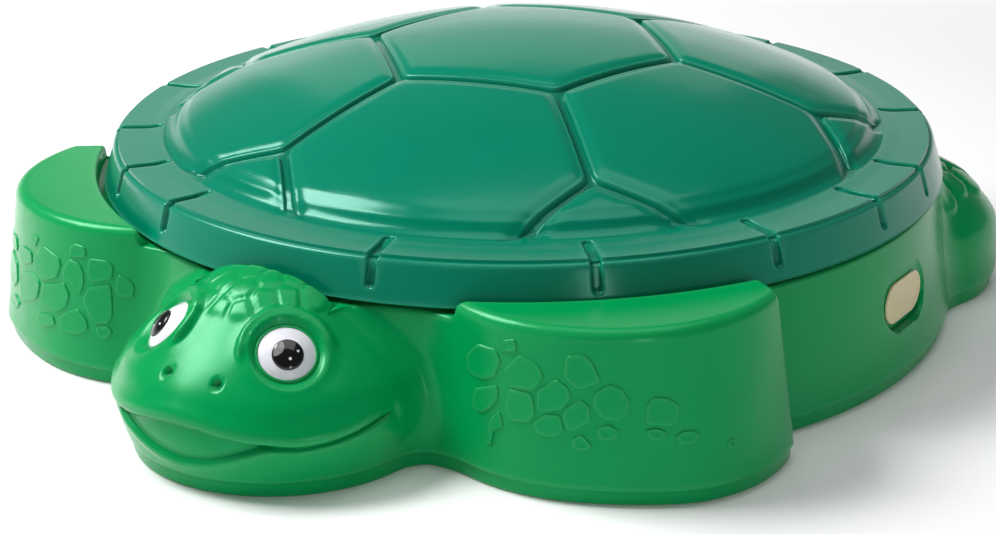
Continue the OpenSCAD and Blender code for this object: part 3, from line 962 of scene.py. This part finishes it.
def moulded_group():
    """Fine moulding texture: a normal and a little change of roughness."""
    group, source, result = group_shell(
        "Moulded Grain",
        [("Grain", "NodeSocketFloat", 0.1), ("Waviness", "NodeSocketFloat", 0.1),
         ("Roughness", "NodeSocketFloat", 0.35), ("Roughness Change", "NodeSocketFloat", 0.08)],
        [("Normal", "NodeSocketVector"), ("Roughness", "NodeSocketFloat")])
    nodes, links = group.nodes, group.links
    place = nodes.new("ShaderNodeTexCoord").outputs["Object"]
    fine = noise_node(nodes, links, place, 1400, 2)
    wave = noise_node(nodes, links, place, 28, 1)
    smear = noise_node(nodes, links, place, 90, 4, 0.6)
    grain = math_node(nodes, links, "MULTIPLY", fine, source.outputs["Grain"])
    swell = math_node(nodes, links, "MULTIPLY", wave, source.outputs["Waviness"])
    height = math_node(nodes, links, "ADD", grain, swell)
    bump = nodes.new("ShaderNodeBump")
    bump.inputs["Strength"].default_value = 1.0
    bump.inputs["Distance"].default_value = 0.001
    links.new(height, bump.inputs["Height"])
    links.new(bump.outputs["Normal"], result.inputs["Normal"])
    change = math_node(nodes, links, "SUBTRACT", smear, 0.5)
    change = math_node(nodes, links, "MULTIPLY", change, source.outputs["Roughness Change"])
    total = math_node(nodes, links, "ADD", source.outputs["Roughness"], change)
    links.new(total, result.inputs["Roughness"])
    return group


def colour_and_shade_group():
    """Colour that drifts a little over the surface, rubbed pale at the edges, with painted shade darkening
    the hollows.
    """
    group, source, result = group_shell(
        "Moulded Colour and Shade",
        [("Colour", "NodeSocketColor", None), ("Drift", "NodeSocketFloat", 0.1),
         ("Rub Colour", "NodeSocketColor", None), ("Rub", "NodeSocketFloat", 0.2),
         ("Hollow Shade", "NodeSocketFloat", 0.3)],
        [("Colour", "NodeSocketColor"), ("Rub Mask", "NodeSocketFloat")])
    nodes, links = group.nodes, group.links
    place = nodes.new("ShaderNodeTexCoord").outputs["Object"]
    broad = noise_node(nodes, links, place, 5, 2)
    speck = noise_node(nodes, links, place, 260, 3, 0.7)
    shape = nodes.new("ShaderNodeAttribute")
    shape.attribute_name = "relief"
    ridge = range_node(nodes, links, shape.outputs["Fac"], 0.54, 0.80)
    # Painted shade: concave places, where the relief falls under 0.46, are darkened as if shaded.
    hollow_shade = range_node(nodes, links, shape.outputs["Fac"], 0.46, 0.22)
    tone = range_node(nodes, links, broad, 0.3, 0.7, 0.0, 1.0)
    dark = mix_colour(nodes, links, 1.0, source.outputs["Colour"], (0.72, 0.80, 0.78, 1), "MULTIPLY")
    amount = math_node(nodes, links, "MULTIPLY", tone, source.outputs["Drift"])
    colour = mix_colour(nodes, links, amount, source.outputs["Colour"], dark)
    # Painted shade colour: the base colour darkened to a dim blue-grey, mixed into the hollows.
    shade_colour = mix_colour(nodes, links, 1.0, source.outputs["Colour"], (0.35, 0.42, 0.45, 1), "MULTIPLY")
    shade_amount = math_node(nodes, links, "MULTIPLY", hollow_shade, source.outputs["Hollow Shade"])
    colour = mix_colour(nodes, links, shade_amount, colour, shade_colour)
    broken = range_node(nodes, links, speck, 0.38, 0.62, 0.55, 1.0)
    rub = math_node(nodes, links, "MULTIPLY", ridge, broken)
    mask = math_node(nodes, links, "MULTIPLY", rub, source.outputs["Rub"], True)
    colour = mix_colour(nodes, links, mask, colour, source.outputs["Rub Colour"])
    links.new(colour, result.inputs["Colour"])
    links.new(mask, result.inputs["Rub Mask"])
    return group


def shared_group(name, build):
    """A node group that is built once."""
    return bpy.data.node_groups.get(name) or build()


def moulded_material(name, colour, rub_colour, values, shine=0.5, coat=0.0, sheen=(1, 1, 1)):
    """A moulded plastic. values: drift, rub, hollow shade (painted shade in the hollows), grain, waviness,
    roughness, its change.
    """
    material = bpy.data.materials.new(name)
    material.use_nodes = True
    nodes, links = material.node_tree.nodes, material.node_tree.links
    shader = nodes["Principled BSDF"]
    drift, rub, hollow_shade, grain, wave, rough, change = values
    tint = nodes.new("ShaderNodeGroup")
    tint.node_tree = shared_group("Moulded Colour and Shade", colour_and_shade_group)
    tint.inputs["Colour"].default_value = (*colour, 1)
    tint.inputs["Drift"].default_value = drift
    tint.inputs["Rub Colour"].default_value = (*rub_colour, 1)
    tint.inputs["Rub"].default_value = rub
    # Strength of the painted shade in the hollows.
    tint.inputs["Hollow Shade"].default_value = hollow_shade
    skin = nodes.new("ShaderNodeGroup")
    skin.node_tree = shared_group("Moulded Grain", moulded_group)
    skin.inputs["Grain"].default_value = grain
    skin.inputs["Waviness"].default_value = wave
    skin.inputs["Roughness"].default_value = rough
    skin.inputs["Roughness Change"].default_value = change
    links.new(tint.outputs["Colour"], shader.inputs["Base Color"])
    links.new(skin.outputs["Roughness"], shader.inputs["Roughness"])
    links.new(skin.outputs["Normal"], shader.inputs["Normal"])
    shader.inputs["IOR"].default_value = 1.5
    shader.inputs["Specular IOR Level"].default_value = shine
    shader.inputs["Specular Tint"].default_value = (*sheen, 1)
    shader.inputs["Coat Weight"].default_value = coat
    shader.inputs["Coat Roughness"].default_value = 0.12
    return material


def mark_relief(piece, reach):
    """Stores how far each point stands out of the surface round it: 0.5 is flat."""
    mesh = piece.data
    count = len(mesh.vertices)
    co = np.zeros(count * 3)
    mesh.vertices.foreach_get("co", co)
    co = co.reshape(-1, 3)
    normal = np.zeros(count * 3)
    mesh.vertices.foreach_get("normal", normal)
    normal = normal.reshape(-1, 3)
    edge = np.zeros(len(mesh.edges) * 2, dtype=np.int64)
    mesh.edges.foreach_get("vertices", edge)
    edge = edge.reshape(-1, 2)
    a, b = edge[:, 0], edge[:, 1]
    span = co[b] - co[a]
    length = np.maximum(np.linalg.norm(span, axis=1), 1e-7)
    bend = np.sum(span * (normal[b] - normal[a]), axis=1) / length ** 2
    total, weight = np.zeros(count), np.zeros(count)
    for i in (a, b):
        np.add.at(total, i, bend)
        np.add.at(weight, i, 1)
    value = total / np.maximum(weight, 1)
    for _ in range(3):
        spread, weight = value.copy(), np.ones(count)
        np.add.at(spread, a, value[b])
        np.add.at(spread, b, value[a])
        np.add.at(weight, a, 1)
        np.add.at(weight, b, 1)
        value = spread / weight
    layer = mesh.attributes.new("relief", "FLOAT", "POINT")
    layer.data.foreach_set("value", np.clip(0.5 + value * reach, 0, 1))


# -------------------------------------------------------------------- operators

class SANDTRAY_OT_tray(bpy.types.Operator):
    """Models the tray moulding: tub, rim, seats, head, feet and tail"""

    bl_idname = "sandtray.tray"
    bl_label = "Tray moulding"

    def execute(self, context):
        sizes = context.scene.tray_sizes
        piece = grid_object("tray_moulding", tray_rings(sizes))
        tidy_mesh(piece, gap=2e-6, angle=50)
        mark_relief(piece, 0.004)
        material = moulded_material(
            "Tray Green", sizes.colour, (0.16, 0.52, 0.24),
            (0.35, 0.10, 0.35, 0.04, 0.25, 0.23, 0.08), shine=0.35, sheen=(0.35, 1.0, 0.65))
        finish_piece(piece, "tray", "base", material)
        return {"FINISHED"}


class SANDTRAY_OT_scales(bpy.types.Operator):
    """Models the small raised scales on both seats"""

    bl_idname = "sandtray.scales"
    bl_label = "Seat scales"

    def execute(self, context):
        sizes = context.scene.tray_sizes
        material = bpy.data.materials["Tray Green"]
        for side, name, scales in ((1, "left", LEFT_SCALES), (-1, "right", RIGHT_SCALES)):
            parts = []
            for i, corners in enumerate(scales):
                parts.append(grid_object(f"scale_{i}", scale_rings(corners, side, sizes)))
            piece = join_parts(parts, f"seat_scales_{name}")
            tidy_mesh(piece, gap=2e-6, angle=60)
            mark_relief(piece, 0.002)
            finish_piece(piece, "tray", "base", material)
        return {"FINISHED"}


class SANDTRAY_OT_cover(bpy.types.Operator):
    """Models the shell cover: plates, grooves, flange, notches and skirt"""

    bl_idname = "sandtray.cover"
    bl_label = "Shell cover"

    def execute(self, context):
        sizes = context.scene.cover_sizes
        angles = edge_angles(sizes.turn)
        rings = edge_rings(angles, sizes)
        inner = shell_ring(angles, sizes)[None]
        parts = [grid_object("cover_dome", np.concatenate([inner, rings]))]
        for i, (kind, points, arc) in enumerate(shell_cells(sizes.turn)):
            grid = cell_grid(kind, points, arc, angles, sizes)
            parts.append(grid_object(f"cell_{i}", grid))
        piece = join_parts(parts, "cover_dome")
        tidy_mesh(piece, gap=4e-5, angle=50)
        mark_relief(piece, 0.004)
        material = moulded_material(
            "Dome Green", sizes.colour, (0.10, 0.38, 0.27),
            (0.3, 0.18, 0.5, 0.03, 0.2, 0.17, 0.08), shine=0.35, sheen=(0.45, 1.0, 0.85))
        finish_piece(piece, "lid", "cover", material)
        return {"FINISHED"}


def face_rings(profile, side, columns, radius_shift=(0.0, 0.0)):
    """A round piece turned about an eye's axis. profile: radius, height out of the face."""
    centre, look, up = eye_axes(side)
    across = up.cross(look)
    turn = np.linspace(0, 2 * math.pi, columns, endpoint=False)
    rings = []
    for radius, height in profile:
        u = radius * np.cos(turn) + radius_shift[0]
        v = radius * np.sin(turn) + radius_shift[1]
        points = np.array(centre)[None] + u[:, None] * np.array(across) + v[:, None] * np.array(up)
        rings.append(points + height * np.array(look))
    return np.array(rings)


def face_map(piece, side):
    """A UV map that lies flat across the face of an eye."""
    centre, look, up = eye_axes(side)
    across = up.cross(look)
    layer = piece.data.uv_layers.new(name="face")
    for loop in piece.data.loops:
        p = piece.data.vertices[loop.vertex_index].co - centre
        height = p.dot(up) + PUPIL_DROP
        layer.data[loop.index].uv = (0.5 + p.dot(across) / FACE_SPAN, 0.5 + height / FACE_SPAN)


class SANDTRAY_OT_eyes(bpy.types.Operator):
    """Models both eyes and their pupils"""

    bl_idname = "sandtray.eyes"
    bl_label = "Eyes"

    def execute(self, context):
        sizes = context.scene.face_sizes
        white = moulded_material(
            "Eye White", sizes.eye_white, (0.9, 0.9, 0.92),
            (0.15, 0.1, 0.5, 0.03, 0.1, 0.22, 0.05), shine=0.4, coat=0.3)
        black = pupil_material(sizes.pupil_black)
        for side, name in ((-1, "right"), (1, "left")):
            radius, rise = EYE_R, EYE_RISE
            ball = (radius ** 2 + rise ** 2) / (2 * rise)
            profile = [(0.0, -0.004), (radius - 0.004, -0.004), (radius - 0.0008, -0.004),
                       (radius, -0.0032), (radius + 0.0002, -0.0010), (radius, 0.0004)]
            for i in range(1, sizes.eye_rings + 1):
                r = (radius - 0.0006) * math.cos(i * math.pi / 2 / sizes.eye_rings)
                profile.append((r, rise - ball + math.sqrt(ball ** 2 - r ** 2)))
            eye = grid_object(f"eye_{name}_ball", face_rings(profile, side, 96))
            tidy_mesh(eye, gap=1e-6)
            mark_relief(eye, 0.002)
            finish_piece(eye, "tray", f"eye_{name}", white)
            self.make_pupil(side, name, ball, black, sizes)
            self.make_collar(side, name)
        return {"FINISHED"}

    def make_collar(self, side, name):
        """The rounded rim of the socket, which the eye stands in."""
        profile = [(0.0271, -0.0045), (0.0271, 0.0004), (0.0275, 0.0010), (0.0282, 0.0013),
                   (0.0290, 0.0011), (0.0298, 0.0003), (0.0312, -0.0016), (0.0330, -0.0042),
                   (0.0345, -0.0075), (0.0345, -0.0120), (0.0300, -0.0120), (0.0271, -0.0045)]
        collar = grid_object(f"eye_{name}_collar", face_rings(profile, side, 96))
        tidy_mesh(collar, gap=1e-6, angle=60)
        mark_relief(collar, 0.002)
        material = bpy.data.materials["Tray Green"]
        finish_piece(collar, "tray", "base", material)

    def make_pupil(self, side, name, ball, material, sizes):
        """A thin domed disc that follows the ball of the eye."""
        radius, thick = PUPIL_R, 0.0026
        profile = [(0.0, -0.001), (0.006, -0.001), (0.0135, -0.001)]
        profile += [(radius, -0.0008), (radius + 0.0001, 0.0002), (radius - 0.0002, 0.0011)]
        for i in range(1, sizes.eye_rings + 1):
            r = (radius - 0.0008) * math.cos(i * math.pi / 2 / sizes.eye_rings)
            crown = math.sqrt(1 - 0.95 * (r / radius) ** 2)
            profile.append((r, 0.0012 + (thick - 0.0012) * crown))
        rings = face_rings(profile, side, 96, (0.0, -PUPIL_DROP))
        centre, look = eye_axes(side)[:2]
        flat = rings - np.array(centre)
        out = flat @ np.array(look)
        plane = flat - out[..., None] * np.array(look)
        r2 = np.sum(plane ** 2, axis=-1)
        base = EYE_RISE - ball + np.sqrt(ball ** 2 - r2)
        rings = rings + base[..., None] * np.array(look)
        pupil = grid_object(f"pupil_{name}_disc", rings)
        tidy_mesh(pupil, gap=1e-6)
        mark_relief(pupil, 0.001)
        face_map(pupil, side)
        finish_piece(pupil, "tray", f"pupil_{name}", material)


def pupil_material(colour):
    """Gloss black with a grey crescent and two small pale dots."""
    material = moulded_material(
        "Pupil Black", colour, (0.05, 0.05, 0.06),
        (0.1, 0.2, 0.2, 0.02, 0.05, 0.12, 0.04), shine=0.4, coat=0.4)
    nodes, links = material.node_tree.nodes, material.node_tree.links
    shader = nodes["Principled BSDF"]
    colour_out = shader.inputs["Base Color"].links[0].from_socket
    place = nodes.new("ShaderNodeUVMap")
    place.uv_map = "face"

    def disc(u, v, radius, soft):
        spot = nodes.new("ShaderNodeVectorMath")
        spot.operation = "DISTANCE"
        links.new(place.outputs["UV"], spot.inputs[0])
        spot.inputs[1].default_value = (0.5 + u / FACE_SPAN, 0.5 + v / FACE_SPAN, 0)
        outer, inner = (radius + soft) / FACE_SPAN, (radius - soft) / FACE_SPAN
        return range_node(nodes, links, spot.outputs["Value"], outer, inner)

    outer = disc(0.0, 0.0, 0.0136, 0.0004)
    inner = disc(-0.0118, 0.0080, 0.0092, 0.0005)
    window = math_node(nodes, links, "MULTIPLY", outer, inner)
    grey = math_node(nodes, links, "MULTIPLY", window, 0.75)
    shown = mix_colour(nodes, links, grey, colour_out, (0.30, 0.31, 0.30, 1))
    dots = math_node(nodes, links, "MAXIMUM", disc(0.0096, 0.0012, 0.0012, 0.0003),
                     disc(0.0012, -0.0058, 0.0014, 0.0003))
    shown = mix_colour(nodes, links, dots, shown, (0.85, 0.86, 0.9, 1))
    links.new(shown, shader.inputs["Base Color"])
    return material


class SANDTRAY_OT_badge(bpy.types.Operator):
    """Models the plain oval badge with its raised rim"""

    bl_idname = "sandtray.badge"
    bl_label = "Side badge"

    def execute(self, context):
        sizes = context.scene.face_sizes
        low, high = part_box("side_badge")
        half_l, half_h = (high.y - low.y) / 2, (high.z - low.z) / 2
        mid_z, face_x = (high.z + low.z) / 2, high.x
        turn = np.linspace(0, 2 * math.pi, 128, endpoint=False)
        straight = np.sign(np.cos(turn)) * (half_l - half_h)
        profile = ((0.0010, -0.0030), (0, -0.0022), (0, -0.0008), (0.0004, -0.0001), (0.0012, 0.0002),
                   (0.0026, 0.0002), (0.0034, -0.0002), (0.0040, -0.0009), (0.0052, -0.0011),
                   (0.0100, -0.0011))

        def ring(out, bow, share):
            u = (straight + half_h * bow * np.cos(turn)) * share
            v = half_h * bow * np.sin(turn) * share
            return np.stack([np.full_like(turn, face_x + out), u, mid_z + v], -1)

        back = [ring(profile[0][1], 1 - profile[0][0] / half_h, share) for share in (0, 0.5)]
        front = [ring(out, 1 - inset / half_h, 1) for inset, out in profile]
        middle = [ring(-0.0011, 1, share) for share in (0.4, 0.2, 0.0)]
        badge = grid_object("badge_plate", np.array(back + front + middle))
        tidy_mesh(badge, gap=1e-6, angle=45)
        mark_relief(badge, 0.001)
        cream = moulded_material(
            "Badge Cream", sizes.badge_cream, (0.9, 0.85, 0.7),
            (0.25, 0.15, 0.5, 0.05, 0.15, 0.34, 0.08))
        finish_piece(badge, "tray", "side_badge", cream)
        return {"FINISHED"}


class SANDTRAY_OT_stage(bpy.types.Operator):
    """Makes the floor, the lights and the camera"""

    bl_idname = "sandtray.stage"
    bl_label = "Floor, light and camera"

    def execute(self, context):
        clear_selection()
        bpy.ops.mesh.primitive_plane_add(size=40, location=(0, 0, -0.0006))
        floor = context.active_object
        floor.name = "floor"
        bpy.ops.object.transform_apply(location=True, rotation=False, scale=False)
        material = bpy.data.materials.new("Studio Floor")
        material.use_nodes = True
        shader = material.node_tree.nodes["Principled BSDF"]
        shader.inputs["Base Color"].default_value = (0.93, 0.93, 0.93, 1)
        shader.inputs["Emission Color"].default_value = (1, 1, 1, 1)
        shader.inputs["Roughness"].default_value = 0.75
        shader.inputs["Specular IOR Level"].default_value = 0.0
        nodes, links = material.node_tree.nodes, material.node_tree.links
        # Painted light: the floor glows, faintly near the tray and strongly far from it, so the far floor
        # reads white while the shade round the tray stays dark.
        away = nodes.new("ShaderNodeVectorMath")
        away.operation = "LENGTH"
        links.new(nodes.new("ShaderNodeTexCoord").outputs["Object"], away.inputs[0])
        glow = range_node(nodes, links, away.outputs["Value"], 1.1, 3.0, 0.06, 0.80)
        links.new(glow, shader.inputs["Emission Strength"])
        floor.data.materials.append(material)
        self.light("key", (-1.75, -0.95, 2.6), 1.5, 1.5, 122)
        self.light("top", (0.3, 0.1, 3.4), 2.4, 2.4, 32)
        self.light("back", (-1.7, 2.7, 1.4), 2.4, 1.6, 6)
        self.light("strip", (2.3, -2.0, 0.45), 0.24, 0.8, 4.5)
        world = bpy.data.worlds.new("Studio")
        world.use_nodes = True
        nodes, links = world.node_tree.nodes, world.node_tree.links
        sky = nodes["Background"]
        sky.inputs["Color"].default_value = (0.97, 0.98, 1.0, 1)
        split = nodes.new("ShaderNodeSeparateXYZ")
        links.new(nodes.new("ShaderNodeTexCoord").outputs["Generated"], split.inputs[0])
        height = math_node(nodes, links, "ABSOLUTE", split.outputs["Z"], 0.0)
        links.new(range_node(nodes, links, height, 0.05, 0.24, 0.92, 0.12), sky.inputs["Strength"])
        context.scene.world = world
        data = bpy.data.cameras.new("camera")
        data.lens = 89.67
        data.sensor_width = 36
        camera = bpy.data.objects.new("camera", data)
        context.scene.collection.objects.link(camera)
        camera.location = (1.3899, -2.2242, 1.0183)
        aim = Vector((0.1473, -0.2837, 0.150)) - camera.location
        turn = aim.to_track_quat("-Z", "Y").to_matrix().to_4x4()
        turn = turn @ Matrix.Rotation(math.radians(-0.57), 4, "Z")
        camera.rotation_euler = turn.to_euler()
        context.scene.camera = camera
        context.scene.view_settings.view_transform = "Standard"
        return {"FINISHED"}

    def light(self, name, place, width, height, power):
        """An area light that points at the middle of the tray."""
        bpy.ops.object.light_add(type="AREA", location=place)
        lamp = bpy.context.active_object
        lamp.name = name
        lamp.data.shape = "RECTANGLE"
        lamp.data.size = width
        lamp.data.size_y = height
        lamp.data.energy = power
        aim = Vector((0, -0.1, 0.1)) - Vector(place)
        lamp.rotation_euler = aim.to_track_quat("-Z", "Y").to_euler()


class SANDTRAY_PT_panel(bpy.types.Panel):
    """Lists the sizes and the pieces"""

    bl_idname = "SANDTRAY_PT_panel"
    bl_label = "Turtle Sand Tray"
    bl_space_type = "VIEW_3D"
    bl_region_type = "UI"
    bl_category = "Sand Tray"

    def draw(self, context):
        scene = context.scene
        for holder in (scene.tray_sizes, scene.cover_sizes, scene.face_sizes):
            box = self.layout.box()
            for name in type(holder).__annotations__:
                box.prop(holder, name)
        for operator in OPERATORS:
            self.layout.operator(operator.bl_idname)


OPERATORS = (SANDTRAY_OT_tray, SANDTRAY_OT_scales, SANDTRAY_OT_cover, SANDTRAY_OT_eyes,
             SANDTRAY_OT_badge, SANDTRAY_OT_stage)
CLASSES = (TraySizes, CoverSizes, FaceSizes, *OPERATORS, SANDTRAY_PT_panel)


def register():
    for item in CLASSES:
        bpy.utils.register_class(item)
    bpy.types.Scene.tray_sizes = bpy.props.PointerProperty(type=TraySizes)
    bpy.types.Scene.cover_sizes = bpy.props.PointerProperty(type=CoverSizes)
    bpy.types.Scene.face_sizes = bpy.props.PointerProperty(type=FaceSizes)


def unregister():
    del bpy.types.Scene.face_sizes
    del bpy.types.Scene.cover_sizes
    del bpy.types.Scene.tray_sizes
    for item in reversed(CLASSES):
        bpy.utils.unregister_class(item)


def main():
    register()
    bpy.ops.sandtray.tray()
    bpy.ops.sandtray.scales()
    bpy.ops.sandtray.cover()
    bpy.ops.sandtray.eyes()
    bpy.ops.sandtray.badge()
    bpy.ops.sandtray.stage()


if __name__ == "__main__":
    main()
